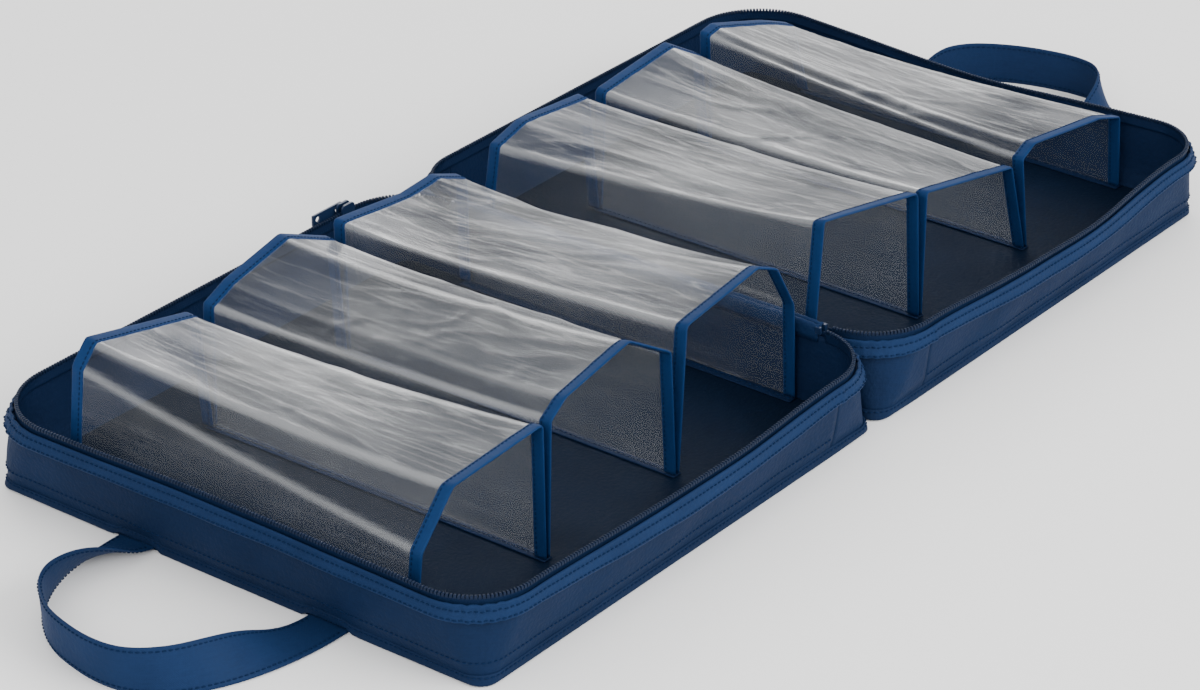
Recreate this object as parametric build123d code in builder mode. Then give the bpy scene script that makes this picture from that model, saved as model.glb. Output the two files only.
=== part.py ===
"""Zip-round shoe bag, lying open: two shallow fabric trays joined by a fabric spine, each with three clear
film tunnels for shoes. Lengths are in millimetres. X runs along the open bag, Y runs from the near side to the
far side, +Z is up, and the origin is on the surface under the spine.

Each tray is drawn on the left, at negative X, and the right one is its mirror image. Plain shapes stand for
the soft pieces. `u` is a distance from the spine towards a tray's outer end.
"""

import os
from math import cos, hypot, radians, sin

from build123d import *

# Tray sizes
base_length = 346.0  # spine side to outer end, along the bottom seam
base_width = 342.0  # near side to far side, along the bottom seam
rim_height = 52.0  # top of the zip teeth
rim_flare = 8.0  # how far the rim stands out past the bottom seam
base_corner = 12.0
rim_corner = 44.0
spine_gap_foot = 4.0  # from the spine line to a spine wall's foot
spine_gap_rim = 1.0  # and to its rim

# Sheet thicknesses
fabric = 1.0
wall_fabric = 1.2
board = 1.0
lining = 0.6
film = 0.4
tape = 0.6
binding = 1.6
strap = 1.6
ply_gap = 0.2  # left between two plies that lie on each other
slot_gap = 0.05  # left each side of a film inside its binding

# Stack of the base, from the bottom up
tab_floor = fabric + ply_gap
board_floor = tab_floor + 0.8 + ply_gap
lining_floor = board_floor + board + ply_gap
foot_tape_floor = lining_floor + lining + ply_gap
foot_tape_top = foot_tape_floor + 0.8
film_foot = foot_tape_top + 0.5

# Rim stack, from the bottom up
wall_top = rim_height - 6.0
band_bottom = wall_top - 9.5
band_top = wall_top + 1.4
tape_bottom = wall_top - 2.0
teeth_height = 1.6
teeth_width = 2.0
teeth_floor = rim_height - teeth_height
tape_top = teeth_floor - ply_gap
tape_inset = wall_fabric + ply_gap
teeth_inset = tape_inset + tape / 2 - teeth_width / 2
stop_length = 3.0
slider_web = 0.6
running_gap = 0.3
spine_axis_height = rim_height + slider_web / 2 + running_gap  # the line that the trays fold about

# Seams along the rim
seam_from_spine = spine_gap_rim + rim_corner + 1.0  # where the side strip meets the spine wall
rim_half_width = base_width / 2 + rim_flare
spine_half_length = rim_half_width - rim_corner  # the zip ends here, at each end of the spine

# Tunnels
near_well = 49.0  # from the near bottom seam to the tunnels' near ends
far_gap = 46.0  # from their far ends to the far bottom seam
tunnel_near = near_well - base_width / 2
tunnel_far = base_width / 2 - far_gap
edge_binding = 8.0  # width of the tape folded over each open end
edge_fold = 0.6  # cloth in front of the film's edge
divider_one = 120.0
divider_two = 235.0
leg_spread = 1.5  # from a divider to the leg each side of it
foot_tape_width = 7.0
foot_tape_end = 4.0  # how far a foot tape stops short of the tunnels' far ends

# Handles
handle_width = 27.0
handle_reach = 112.0  # from the strap's turning line to the far side of the loop
handle_spacing = 136.0  # between the middles of its two ends
handle_turn = 92.0  # degrees that the strap has turned onto its outer edge at the far side
turn_share = 0.75  # of the way there, where it has turned that far
loop_squareness = 2.2  # 2 is an ellipse
strap_steps = 9
strap_floor = 0.4  # under the strap where it lies
handle_clear = 1.2  # from the bottom seam's binding to the strap's turning line
tab_length = 12.0

# Zip slider and its pull
slider_length = 11.0
slider_height = 7.6
slider_lip = 0.45  # how far each plate's edge turns in behind the teeth
slider_plate = 1.2
slider_park = 0.5  # from the rim's spine-side corner to the slider when the zip is open
slider_start = spine_gap_rim + rim_corner + slider_park + slider_length / 2
channel_half = teeth_width / 2 + 0.5
pull_length = 26.0
pull_width = 7.0
pull_thickness = 1.2
bridge_width = 2.0
bridge_reach = 2.2
bridge_rise = 2.2
bridge_bar = 0.9


def tray_outline(height, inset):
    """Draw the left tray's rounded plan at a height, moved inwards by inset."""
    share = height / rim_height
    spine_side = spine_gap_foot + (spine_gap_rim - spine_gap_foot) * share + inset
    outer_end = spine_gap_foot + base_length + rim_flare * share - inset
    width = base_width + 2 * (rim_flare * share - inset)
    corner = base_corner + (rim_corner - base_corner) * share - inset
    with Locations((-(spine_side + outer_end) / 2, 0)):
        RectangleRounded(outer_end - spine_side, width, corner)


def tray_ring(bottom, top, outside, inside):
    """A sloping ring that follows the tray's walls from bottom to top, between two insets."""
    with BuildPart() as ring:
        with BuildSketch(Plane.XY.offset(bottom)):
            tray_outline(bottom, outside)
        with BuildSketch(Plane.XY.offset(top)):
            tray_outline(top, outside)
        loft(ruled=True)
        with BuildSketch(Plane.XY.offset(bottom)) as inner_bottom:
            tray_outline(bottom, inside)
        with BuildSketch(Plane.XY.offset(top)) as inner_top:
            tray_outline(top, inside)
        loft([inner_bottom.sketch, inner_top.sketch], ruled=True, mode=Mode.SUBTRACT)
    return ring.part


def tray_sheet(bottom, thickness, inset):
    """A flat sheet over the whole base, cut to the walls' plan at its own height."""
    with BuildPart() as sheet:
        with BuildSketch(Plane.XY.offset(bottom)):
            tray_outline(bottom, inset)
        extrude(amount=thickness)
    return sheet.part


def rim_trim(bottom, top, outside, inside):
    """A ring along the rim, open along the straight middle of the spine."""
    with BuildPart() as trim:
        add(tray_ring(bottom, top, outside, inside))
        with Locations((0, 0, rim_height)):
            Box(rim_corner, 2 * spine_half_length, rim_height, mode=Mode.SUBTRACT)
    return trim.part


def moved_sideways(points, distance):
    """Move an open outline to its left by distance, with mitred corners."""
    sides = []
    for (u0, z0), (u1, z1) in zip(points, points[1:]):
        length = hypot(u1 - u0, z1 - z0)
        sides.append(((z0 - z1) / length, (u1 - u0) / length))
    moved = []
    for index, (u, z) in enumerate(points):
        before = sides[max(index - 1, 0)]
        after = sides[min(index, len(sides) - 1)]
        mitre = distance / (1 + before[0] * after[0] + before[1] * after[1])
        moved.append((u + mitre * (before[0] + after[0]), z + mitre * (before[1] + after[1])))
    return moved


def arch_outline(tunnel, y, outward, inward):
    """The closed outline, at a place along Y, of a band that follows the tunnel's film."""
    share = (y - tunnel_near) / (tunnel_far - tunnel_near)
    arch = [
        (u0 + (u1 - u0) * share, z0 + (z1 - z0) * share)
        for (u0, z0), (u1, z1) in zip(tunnel["near"], tunnel["far"])
    ]
    outer = moved_sideways(arch, outward)
    inner = moved_sideways(arch, -inward)
    return [(tunnel["side"] * u, z) for u, z in outer + inner[::-1]]


def arch_band(tunnel, start, stop, outward, inward):
    """A solid band that follows the tunnel's film from start to stop along Y."""
    with BuildPart() as band:
        for y in (start, stop):
            with BuildSketch(Plane.XZ.offset(-y)):
                with BuildLine():
                    Polyline(*arch_outline(tunnel, y, outward, inward), close=True)
                make_face()
        loft(ruled=True)
    return band.part


def edge_tape(tunnel, edge, inwards):
    """The binding folded over a film's open edge, with a slot for the film. inwards is 1 or -1 along Y."""
    ply = (binding - film) / 2
    stop = edge + inwards * edge_binding
    with BuildPart() as folded:
        add(arch_band(tunnel, edge, stop, ply, film + ply))
        slot_start = edge + inwards * (edge_fold - slot_gap)
        add(arch_band(tunnel, slot_start, stop, slot_gap, film + slot_gap), mode=Mode.SUBTRACT)
    return folded.part


def write(name, solid):
    solid.label = name
    export_step(solid, f"parts/{name}.step")


os.makedirs("parts", exist_ok=True)

# Base: outer fabric, stiffening board and lining, one on the other
base_panel = tray_sheet(0, fabric, 0)
base_board = tray_sheet(board_floor, board, 3.0)
floor_lining = tray_sheet(lining_floor, lining, wall_fabric + ply_gap)

with BuildPart() as base_binding:
    add(tray_ring(0.3, 5.3, -binding - ply_gap, -ply_gap))

# Walls: the side strip runs round three sides, and the spine wall turns both corners to meet it
with BuildPart() as side_strip:
    add(tray_ring(fabric + ply_gap, wall_top, 0, wall_fabric))
    split(bisect_by=Plane.YZ.offset(-seam_from_spine - ply_gap / 2), keep=Keep.BOTTOM)

with BuildPart() as spine_wall:
    add(tray_ring(fabric + ply_gap, wall_top, 0, wall_fabric))
    split(bisect_by=Plane.YZ.offset(-seam_from_spine + ply_gap / 2), keep=Keep.TOP)
    with BuildSketch(Plane.YZ.offset(-spine_gap_rim)):
        with Locations((0, (wall_top + rim_height - 0.4) / 2)):
            Rectangle(2 * (spine_half_length - stop_length - 1), rim_height - 0.4 - wall_top)
    extrude(amount=-wall_fabric)

# Rim: fabric band outside the wall, zip tape above it and the row of teeth on the tape's edge
zip_band = rim_trim(band_bottom, band_top, -fabric - ply_gap, -ply_gap)
zip_tape = rim_trim(tape_bottom, tape_top, tape_inset, tape_inset + tape)
zip_teeth = rim_trim(teeth_floor, rim_height, teeth_inset, teeth_inset + teeth_width)

# Foot tapes: each film leg is sewn to the floor along one
with BuildPart() as foot_tapes:
    with BuildSketch(Plane.XY.offset(foot_tape_floor)):
        outer_foot = spine_gap_foot + base_length - 6.0
        for u in (spine_gap_foot + 6.0, divider_one, divider_two, outer_foot):
            with Locations((-u, (tunnel_near + tunnel_far - foot_tape_end) / 2)):
                Rectangle(foot_tape_width, tunnel_far - foot_tape_end - tunnel_near)
    extrude(amount=foot_tape_top - foot_tape_floor)

# Handle tabs: the strap ends that are sewn in under the board
handle_seam = spine_gap_foot + base_length
with BuildPart() as handle_tabs:
    with BuildSketch(Plane.XY.offset(tab_floor)):
        with Locations((-(handle_seam - wall_fabric - ply_gap - tab_length / 2), 0)):
            with GridLocations(0, handle_spacing, 1, 2):
                Rectangle(tab_length, handle_width)
    extrude(amount=board_floor - ply_gap - tab_floor)

# Zip stops: a small clip on each end of the teeth, beside the spine
with BuildPart() as zip_stops:
    with BuildSketch(Plane.XY.offset(tape_top - 2.4)):
        with GridLocations(0, 2 * (spine_half_length - ply_gap - stop_length / 2), 1, 2):
            with Locations((-(spine_gap_rim + tape_inset + tape / 2), 0)):
                Rectangle(teeth_width + 0.2, stop_length)
    extrude(amount=rim_height - tape_top + 2.4)

# Handle: a strap that lies as a loop on the surface, flat at its ends and on its outer edge at the far side
handle_line = handle_seam + binding + ply_gap + handle_clear
loop_half = (handle_spacing + handle_width) / 2
strap_sections = []
for step in range(strap_steps + 1):
    share = step / strap_steps
    outwards = sin(radians(90 * share)) ** (2 / loop_squareness)
    sideways = cos(radians(90 * share)) ** (2 / loop_squareness) if step < strap_steps else 0.0
    turned = min(share / turn_share, 1.0)
    turn = radians(handle_turn) * turned**2 * (3 - 2 * turned)
    inwards = Vector(
        outwards ** (loop_squareness - 1) / handle_reach, -(sideways ** (loop_squareness - 1)) / loop_half, 0
    ).normalized()
    edge = Vector(
        -(handle_line + handle_reach * outwards), loop_half * sideways, strap_floor + strap / 2 * abs(cos(turn))
    )
    across = inwards * cos(turn) + Vector(0, 0, 1) * sin(turn)
    with BuildSketch(Plane(edge, x_dir=across, z_dir=Vector(inwards.Y, -inwards.X, 0))) as strap_section:
        Rectangle(handle_width, strap, align=(Align.MIN, Align.CENTER))
    strap_sections.append(strap_section.sketch)
with BuildPart() as handle:
    loft(strap_sections)
    mirror(about=Plane.XZ)

# Spine strip: the fabric hinge, hanging between the two spine walls from the fold line
with BuildPart() as spine_strip:
    with BuildSketch(Plane.YZ.offset(-0.3)):
        with Locations((0, rim_height - 11.0)):
            Rectangle(2 * spine_half_length - 4, 22.0)
    extrude(amount=-0.5)

# Tunnels: each arch is its film's outline, from the leg nearer the spine to the other leg, at the near open end
# and at the far one, as distances from the spine and heights. The shoulders sit unevenly, as soft film does.
leg_a = spine_gap_foot + 4.0
leg_b = divider_one - leg_spread
leg_c = divider_one + leg_spread
leg_d = divider_two - leg_spread
leg_e = divider_two + leg_spread
leg_f = spine_gap_foot + base_length - 6.0
foot = film_foot
tunnels = [
    {
        "name": "left_tunnel_1",
        "side": -1,
        "near": [(leg_e, foot), (leg_e + 2, 88), (leg_f - 32, 84), (leg_f - 6, 56), (leg_f, foot)],
        "far": [(leg_e, foot), (leg_e + 8, 79), (leg_f - 20, 96), (leg_f - 9, 84), (leg_f, foot)],
    },
    {
        "name": "left_tunnel_2",
        "side": -1,
        "near": [
            (leg_c, foot), (leg_c + 5, 84), (leg_c + 42, 106), (leg_d - 15, 96), (leg_d - 2, 87), (leg_d, foot)
        ],
        "far": [
            (leg_c, foot), (leg_c + 6, 80), (leg_c + 46, 97), (leg_d - 20, 87), (leg_d - 2, 79), (leg_d, foot)
        ],
    },
    {
        "name": "left_tunnel_3",
        "side": -1,
        "near": [(leg_a, foot), (leg_a + 3, 66), (leg_a + 20, 95), (leg_a + 38, 103), (leg_b - 6, 94), (leg_b, foot)],
        "far": [(leg_a, foot), (leg_a + 2, 75), (leg_a + 26, 84), (leg_a + 54, 82), (leg_b + 2, 88), (leg_b, foot)],
    },
    {
        "name": "right_tunnel_1",
        "side": 1,
        "near": [(leg_a, foot), (leg_a + 9, 107), (leg_a + 30, 103), (leg_b - 6, 88), (leg_b, foot)],
        "far": [(leg_a, foot), (leg_a + 14, 83), (leg_a + 40, 90), (leg_b - 10, 85), (leg_b, foot)],
    },
    {
        "name": "right_tunnel_2",
        "side": 1,
        "near": [(leg_c, foot), (leg_c + 1, 85), (leg_c + 60, 73), (leg_d - 18, 66), (leg_d, foot)],
        "far": [(leg_c, foot), (leg_c + 4, 82), (leg_d - 38, 89), (leg_d - 8, 72), (leg_d, foot)],
    },
    {
        "name": "right_tunnel_3",
        "side": 1,
        "near": [
            (leg_e, foot), (leg_e - 9, 67), (leg_e + 4, 73), (leg_f - 28, 62), (leg_f - 4, 54), (leg_f, foot)
        ],
        "far": [
            (leg_e, foot), (leg_e - 3, 83), (leg_e + 8, 85), (leg_f - 46, 69), (leg_f - 18, 58), (leg_f, foot)
        ],
    },
]

# Zip slider: an outer and an inner plate joined by a web, on the left tray's far rim beside the spine. The web
# stands on the fold line's height, so the other tray's teeth pass above it when the bag is closed.
zip_line = rim_half_width - teeth_inset - teeth_width / 2
slider_middle = (-slider_start, zip_line, spine_axis_height)
lip_height = teeth_floor - 0.6 - (spine_axis_height - slider_height / 2)
outer_face = zip_line + channel_half + slider_plate
with BuildPart() as zip_slider:
    with Locations(slider_middle):
        with GridLocations(0, 2 * channel_half + slider_plate, 1, 2):
            Box(slider_length, slider_plate, slider_height)
    plate_corners = zip_slider.edges().filter_by(Axis.Y)
    fillet(plate_corners, radius=2.4)
    with Locations(slider_middle):
        Box(slider_length / 3, 2 * channel_half, slider_web)
        with GridLocations(0, 2 * channel_half - slider_lip, 1, 2):
            for end in (-1, 1):
                with Locations((0, 0, end * (slider_height - lip_height) / 2)):
                    Box(slider_length - 5, slider_lip, lip_height)
    # The bridge that the pull turns under
    with BuildSketch(Plane.XY.offset(spine_axis_height - bridge_width / 2)):
        with Locations((-slider_start, outer_face + (bridge_rise + bridge_bar) / 2)):
            Rectangle(2 * (bridge_reach + bridge_bar), bridge_rise + bridge_bar)
        with Locations((-slider_start, outer_face + bridge_rise / 2)):
            Rectangle(2 * bridge_reach, bridge_rise, mode=Mode.SUBTRACT)
    extrude(amount=bridge_width)

# Pull: a flat tab whose crossbar is held under the bridge
pull_axis = (-slider_start, outer_face + pull_thickness)
window_length = bridge_reach + bridge_bar + 1.6
with BuildPart() as slider_pull:
    with BuildSketch(Plane.XZ.offset(-(pull_axis[1] - pull_thickness / 2))):
        with Locations((pull_axis[0] - pull_length / 2 + pull_thickness / 2, spine_axis_height)):
            RectangleRounded(pull_length, pull_width, 0.5)
        with Locations((pull_axis[0] - pull_thickness / 2 - window_length / 2, spine_axis_height)):
            Rectangle(window_length, bridge_width + 1.2, mode=Mode.SUBTRACT)
        with Locations((pull_axis[0] - pull_length + 5.0, spine_axis_height)):
            Circle(1.8, mode=Mode.SUBTRACT)
    extrude(amount=-pull_thickness)

tray_pieces = {
    "base_panel": base_panel,
    "base_board": base_board,
    "floor_lining": floor_lining,
    "base_binding": base_binding.part,
    "side_strip": side_strip.part,
    "spine_wall": spine_wall.part,
    "zip_band": zip_band,
    "zip_tape": zip_tape,
    "zip_teeth": zip_teeth,
    "zip_stops": zip_stops.part,
    "foot_tapes": foot_tapes.part,
    "handle_tabs": handle_tabs.part,
    "handle": handle.part,
}
for name, solid in tray_pieces.items():
    write(f"left_{name}", solid)
    write(f"right_{name}", mirror(solid, about=Plane.YZ))

for tunnel in tunnels:
    write(f"{tunnel['name']}_film", arch_band(tunnel, tunnel_near + edge_fold, tunnel_far - edge_fold, 0, film))
    write(f"{tunnel['name']}_near_edge", edge_tape(tunnel, tunnel_near, 1))
    write(f"{tunnel['name']}_far_edge", edge_tape(tunnel, tunnel_far, -1))

spine_strip.part.label = "spine_strip"
export_step(spine_strip.part, "parts/spine_strip.step")
zip_slider.part.label = "zip_slider"
export_step(zip_slider.part, "parts/zip_slider.step")
slider_pull.part.label = "slider_pull"
export_step(slider_pull.part, "parts/slider_pull.step")
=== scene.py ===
"""The shoe bag's looks: a zip-round bag of navy polyester, lying open, with three clear film tunnels
in each of its two trays. Everything is in metres. X runs along the open bag, Y from the near side to
the far side, and Z up.

Both trays are made from one set of steps. `side` is -1 for the left tray and 1 for the right one, and
`u` is a distance from the spine towards a tray's outer end.
"""

from math import cos, pi, radians, sin

import bpy
import numpy as np
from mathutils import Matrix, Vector, noise


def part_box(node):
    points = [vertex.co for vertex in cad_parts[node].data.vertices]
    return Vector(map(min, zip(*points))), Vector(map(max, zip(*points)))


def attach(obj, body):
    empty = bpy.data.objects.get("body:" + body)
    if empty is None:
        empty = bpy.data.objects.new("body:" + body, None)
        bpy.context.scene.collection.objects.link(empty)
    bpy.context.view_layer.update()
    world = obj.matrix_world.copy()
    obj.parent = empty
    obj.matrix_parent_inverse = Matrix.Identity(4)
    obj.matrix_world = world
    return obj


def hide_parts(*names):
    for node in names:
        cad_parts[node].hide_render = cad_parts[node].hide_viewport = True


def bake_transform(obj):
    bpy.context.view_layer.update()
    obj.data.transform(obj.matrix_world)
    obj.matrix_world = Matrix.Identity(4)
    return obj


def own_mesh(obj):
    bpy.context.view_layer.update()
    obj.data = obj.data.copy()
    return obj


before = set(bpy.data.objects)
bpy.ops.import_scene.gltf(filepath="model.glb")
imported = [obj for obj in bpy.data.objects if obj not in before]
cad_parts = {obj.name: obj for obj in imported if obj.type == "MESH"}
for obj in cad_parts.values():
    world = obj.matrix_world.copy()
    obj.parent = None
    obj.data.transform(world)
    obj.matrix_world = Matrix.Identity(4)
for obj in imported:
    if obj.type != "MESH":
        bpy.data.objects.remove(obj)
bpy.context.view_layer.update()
bpy.ops.object.select_all(action="DESELECT")
trays = {"left": -1, "right": 1}

# --------------------------------------------------------------------------------------------------
# Base board. A sheet of grey pressed board lies between the outer base cloth and the lining, and
# keeps each tray flat. Nothing of it shows, so its plain shape stays, in mottled grey board.


def new_group(name, sockets_in, sockets_out):
    group = bpy.data.node_groups.new(name, "ShaderNodeTree")
    for socket, kind, value in sockets_in:
        made = group.interface.new_socket(socket, in_out="INPUT", socket_type=kind)
        if value is not None:
            made.default_value = value
    for socket, kind in sockets_out:
        group.interface.new_socket(socket, in_out="OUTPUT", socket_type=kind)
    return group, group.nodes.new("NodeGroupInput"), group.nodes.new("NodeGroupOutput")


def math_node(tree, operation, first, second=None, third=None):
    node = tree.nodes.new("ShaderNodeMath")
    node.operation = operation
    for index, value in enumerate((first, second, third)):
        if value is None:
            continue
        if isinstance(value, (int, float)):
            node.inputs[index].default_value = value
        else:
            tree.links.new(value, node.inputs[index])
    return node.outputs[0]


# Mottle: soft patches of lighter and darker dye, and a finer grain inside them.
mottle, mottle_in, mottle_out = new_group(
    "Mottle",
    [
        ("Vector", "NodeSocketVector", None), ("Patch", "NodeSocketFloat", 30.0),
        ("Grain", "NodeSocketFloat", 900.0),
    ],
    [("Value", "NodeSocketFloat"), ("Grain", "NodeSocketFloat")],
)
patches = mottle.nodes.new("ShaderNodeTexNoise")
patches.inputs["Detail"].default_value = 3.0
grains = mottle.nodes.new("ShaderNodeTexNoise")
grains.inputs["Detail"].default_value = 2.0
for noise_node, scale in ((patches, "Patch"), (grains, "Grain")):
    mottle.links.new(mottle_in.outputs["Vector"], noise_node.inputs["Vector"])
    mottle.links.new(mottle_in.outputs[scale], noise_node.inputs["Scale"])
shares = math_node(mottle, "MULTIPLY", grains.outputs["Fac"], 0.35)
blended = math_node(mottle, "MULTIPLY_ADD", patches.outputs["Fac"], 0.65, shares)
mottle.links.new(blended, mottle_out.inputs["Value"])
mottle.links.new(grains.outputs["Fac"], mottle_out.inputs["Grain"])


def place_group(tree, group, vector, **values):
    node = tree.nodes.new("ShaderNodeGroup")
    node.node_tree = group
    tree.links.new(vector, node.inputs["Vector"])
    for socket, value in values.items():
        node.inputs[socket.replace("_", " ")].default_value = value
    return node


def two_tone(tree, mask, dark, light, socket):
    """Mix two colours by a mask, into a socket."""
    mix = tree.nodes.new("ShaderNodeMix")
    mix.data_type = "RGBA"
    mix.inputs["A"].default_value = (*dark, 1.0)
    mix.inputs["B"].default_value = (*light, 1.0)
    tree.links.new(mask, mix.inputs["Factor"])
    tree.links.new(mix.outputs["Result"], socket)


def bump(tree, height, distance, strength, normal=None):
    node = tree.nodes.new("ShaderNodeBump")
    node.inputs["Distance"].default_value = distance
    node.inputs["Strength"].default_value = strength
    tree.links.new(height, node.inputs["Height"])
    if normal is not None:
        tree.links.new(normal, node.inputs["Normal"])
    return node.outputs["Normal"]


def new_finish(name, roughness, **sockets):
    """A material with its Principled shader, and the constants that are set on the shader itself."""
    made = bpy.data.materials.new(name)
    made.use_nodes = True
    shader = made.node_tree.nodes["Principled BSDF"]
    shader.inputs["Roughness"].default_value = roughness
    for socket, value in sockets.items():
        shader.inputs[socket.replace("_", " ")].default_value = value
    return made, made.node_tree, shader


board_finish, tree, shader = new_finish("pressed_board", 0.9, Specular_IOR_Level=0.2)
place = tree.nodes.new("ShaderNodeTexCoord")
fibres = place_group(tree, mottle, place.outputs["Object"], Patch=60.0, Grain=1400.0)
board_colours = ((0.16, 0.155, 0.15), (0.34, 0.33, 0.31))
two_tone(tree, fibres.outputs["Value"], *board_colours, shader.inputs["Base Color"])
tree.links.new(bump(tree, fibres.outputs["Grain"], 0.0003, 0.5), shader.inputs["Normal"])


def dress_node(name, finish):
    """Put a finish on a CAD node that keeps its shape."""
    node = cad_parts[name]
    node.data.materials.clear()
    node.data.materials.append(finish)
    return node


for tray in trays:
    dress_node(f"{tray}_base_board", board_finish)

# --------------------------------------------------------------------------------------------------
# Base cloth and lining. Both are flat sheets of the same navy polyester as the walls, cut to the
# tray's plan. The lining's colours are a darker copy of the navy: painted shade, for the shade that
# falls on the floor inside the tray. The lining is sewn down along the tunnels' foot lines, so it
# puffs a little between them.

base_low, base_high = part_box("left_base_panel")
lining_low, lining_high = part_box("left_floor_lining")
strip_low, strip_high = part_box("left_side_strip")
rim_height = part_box("left_zip_teeth")[1].z
base_end = -base_low.x
base_half = base_high.y
flare = (-strip_low.x - base_end) / strip_high.z  # how far the walls lean out, for each metre up
spine_foot = -base_high.x
spine_lean = (spine_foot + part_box("left_spine_wall")[1].x) / rim_height
base_corner = 0.009
rim_corner = 0.044
end_rim_corners = (0.040, 0.050)  # at the near and the far outer corner
foot_lines = (0.010, 0.120, 0.235, 0.344)
cloth_colours = ((0.0031, 0.0096, 0.0300), (0.0055, 0.0160, 0.0490))
# Painted shade: the lining's colours are a darker copy of the navy cloth, for the shade on the floor inside
# the tray.
lining_painted_shade_colours = ((0.0011, 0.0045, 0.0135), (0.0021, 0.0080, 0.0225))


def weave_group():
    """A plain weave: one thread over, one under, with slubs. Height is for bump and Slub for colour."""
    weave, weave_in, weave_out = new_group(
        "Plain weave",
        [("Vector", "NodeSocketVector", None), ("Pitch", "NodeSocketFloat", 0.0006)],
        [("Height", "NodeSocketFloat"), ("Slub", "NodeSocketFloat")],
    )
    split = weave.nodes.new("ShaderNodeSeparateXYZ")
    weave.links.new(weave_in.outputs["Vector"], split.inputs["Vector"])
    waves = []
    for axis in ("X", "Y"):
        turns = math_node(weave, "DIVIDE", split.outputs[axis], weave_in.outputs["Pitch"])
        waves.append(math_node(weave, "SINE", math_node(weave, "MULTIPLY", turns, pi)))
    crossing = math_node(weave, "MULTIPLY", waves[0], waves[1])
    weave.links.new(math_node(weave, "MULTIPLY_ADD", crossing, 0.5, 0.5), weave_out.inputs["Height"])
    stretch = weave.nodes.new("ShaderNodeMapping")
    stretch.inputs["Scale"].default_value = (60.0, 1400.0, 60.0)
    slub = weave.nodes.new("ShaderNodeTexNoise")
    slub.inputs["Scale"].default_value = 1.0
    weave.links.new(weave_in.outputs["Vector"], stretch.inputs["Vector"])
    weave.links.new(stretch.outputs["Vector"], slub.inputs["Vector"])
    weave.links.new(slub.outputs["Fac"], weave_out.inputs["Slub"])
    return weave


plain_weave = weave_group()


def woven_finish(name, colours, pitch, roughness, crinkle, sheen):
    """Woven polyester: dye patches and slubs in its colour, the weave and soft crinkles in its bump."""
    made, tree, shader = new_finish(
        name, roughness, Specular_IOR_Level=0.06, Sheen_Weight=sheen, Sheen_Roughness=0.4,
        Sheen_Tint=(0.16, 0.36, 1.0, 1.0),
    )
    place = tree.nodes.new("ShaderNodeTexCoord")
    threads = place_group(tree, plain_weave, place.outputs["UV"], Pitch=pitch)
    patches = place_group(tree, mottle, place.outputs["Object"], Patch=22.0, Grain=420.0)
    mask = math_node(tree, "MULTIPLY_ADD", threads.outputs["Slub"], 0.4, patches.outputs["Value"])
    mask = math_node(tree, "MULTIPLY_ADD", mask, 1.6, -0.62)
    two_tone(tree, mask, colours[0], colours[1], shader.inputs["Base Color"])
    rough = math_node(tree, "MULTIPLY_ADD", patches.outputs["Grain"], 0.2, roughness - 0.1)
    tree.links.new(rough, shader.inputs["Roughness"])
    soft = bump(tree, patches.outputs["Value"], 0.004, crinkle)
    tree.links.new(bump(tree, threads.outputs["Height"], pitch / 3, 0.2, soft), shader.inputs["Normal"])
    return made


navy_cloth = woven_finish("navy_polyester", cloth_colours, 0.0006, 0.62, 0.30, 0.02)
lining_cloth_painted_shade = woven_finish("lining_polyester_painted_shade", lining_painted_shade_colours, 0.0006, 0.66, 0.25, 0.01)


def add_mesh(name, points, faces, uv, finish):
    """A mesh object from points, faces and a UV for each face corner."""
    mesh = bpy.data.meshes.new(name)
    mesh.from_pydata([tuple(p) for p in points], [], faces)
    layer = mesh.uv_layers.new(name="UVMap")
    layer.data.foreach_set("uv", np.asarray(uv, float).ravel())
    mesh.materials.append(finish)
    made = bpy.data.objects.new(name, mesh)
    bpy.context.scene.collection.objects.link(made)
    return made


def turn_outwards(made):
    """Flip a closed mesh whose faces point inwards, and shade it smooth."""
    mesh = made.data
    mesh.calc_loop_triangles()
    co = np.array([v.co for v in mesh.vertices])
    corners = co[np.array([t.vertices[:] for t in mesh.loop_triangles])]
    volume = np.einsum("ij,ij->i", corners[:, 0], np.cross(corners[:, 1], corners[:, 2])).sum()
    if volume < 0:
        mesh.flip_normals()
    mesh.shade_smooth()


def thicken(made, thickness):
    """Give a sheet its cloth's thickness, half to each side."""
    bpy.context.view_layer.objects.active = made
    solid = made.modifiers.new("Cloth thickness", "SOLIDIFY")
    solid.thickness = thickness
    solid.offset = 0.0
    bpy.ops.object.modifier_apply(modifier=solid.name)
    turn_outwards(made)


def sheet_grid(name, rows, finish, thickness, uv=None):
    """Cloth through rows of points. The UV map is in metres along and across."""
    rows = np.asarray(rows, float)
    count, length = rows.shape[:2]
    if uv is None:
        along = np.cumsum(np.linalg.norm(np.diff(rows, axis=1), axis=2), axis=1)
        along = np.concatenate([np.zeros((count, 1)), along], axis=1)
        across = np.cumsum(np.linalg.norm(np.diff(rows, axis=0), axis=2), axis=0)
        across = np.concatenate([np.zeros((1, length)), across], axis=0)
        uv = np.stack([along, across], axis=2)
    faces, corners = [], []
    for i in range(count - 1):
        for j in range(length - 1):
            low, high = i * length + j, (i + 1) * length + j
            faces.append((low, low + 1, high + 1, high))
            corners += [uv[i][j], uv[i][j + 1], uv[i + 1][j + 1], uv[i + 1][j]]
    made = add_mesh(name, rows.reshape(-1, 3), faces, corners, finish)
    if thickness:
        thicken(made, thickness)
    return made


def half_width_at(u, inset):
    """Half of the base's width at a distance from the spine, along its rounded plan."""
    corner = base_corner - inset
    middle = (spine_foot + base_end) / 2
    past = abs(u - middle) - ((base_end - spine_foot) / 2 - inset - corner)
    straight = base_half - inset - corner
    return straight + (corner**2 - min(max(past, 0.0), corner) ** 2) ** 0.5


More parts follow.
